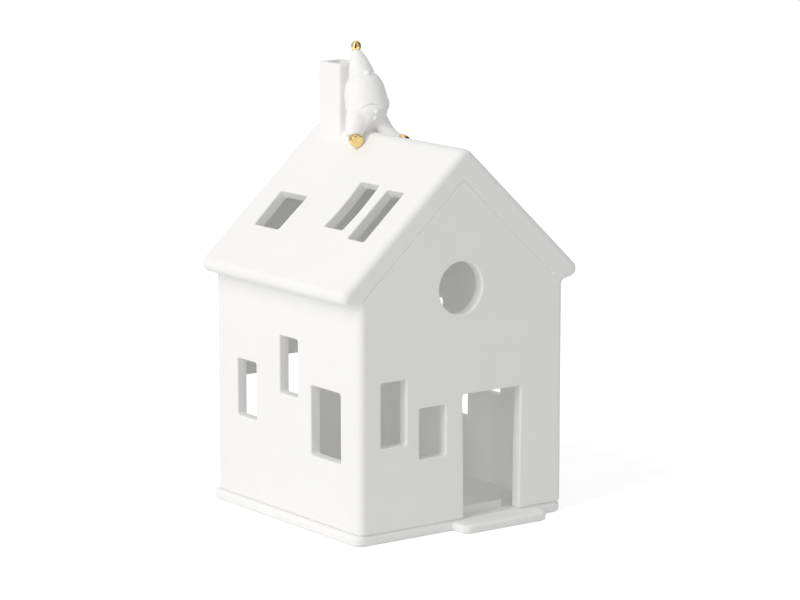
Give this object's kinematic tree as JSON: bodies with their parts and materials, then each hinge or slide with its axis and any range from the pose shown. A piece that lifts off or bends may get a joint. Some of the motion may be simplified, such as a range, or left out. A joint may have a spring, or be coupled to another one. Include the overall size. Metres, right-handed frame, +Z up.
{
  "type": "tealight house",
  "caption": "Hollow gabled porcelain house that lifts off its base plate to cover a tealight, with lit window openings, a flue and a seated gnome on the ridge.",
  "frame": {"origin": "on the underside of the base plate, under the middle of the four walls", "axes": "+Z up, the door looks along -Y, the side wall with three windows and the skylights look along -X"},
  "size_m": [0.1032, 0.0992, 0.1679],
  "materials": {
    "bisque_porcelain": "matt unglazed porcelain",
    "gold_lustre": "bright gold lustre over glaze"
  },
  "bodies": {
    "base": {"base_plate": "bisque_porcelain"},
    "house": {"house_walls": "bisque_porcelain", "house_roof": "bisque_porcelain", "chimney": "bisque_porcelain", "gnome_body": "bisque_porcelain", "gnome_jacket": "bisque_porcelain", "gnome_hat": "bisque_porcelain", "hat_bobble": "gold_lustre", "gnome_nose": "bisque_porcelain", "gnome_buttons": "bisque_porcelain", "gnome_right_leg": "bisque_porcelain", "gnome_left_leg": "bisque_porcelain", "gnome_right_boot": "gold_lustre", "gnome_left_boot": "gold_lustre"}
  },
  "joints": [
    {"name": "house_lift", "type": "slide", "parent": "base", "child": "house", "axis": [0, 0, 1], "range_m": [0, 0.06]}
  ]
}
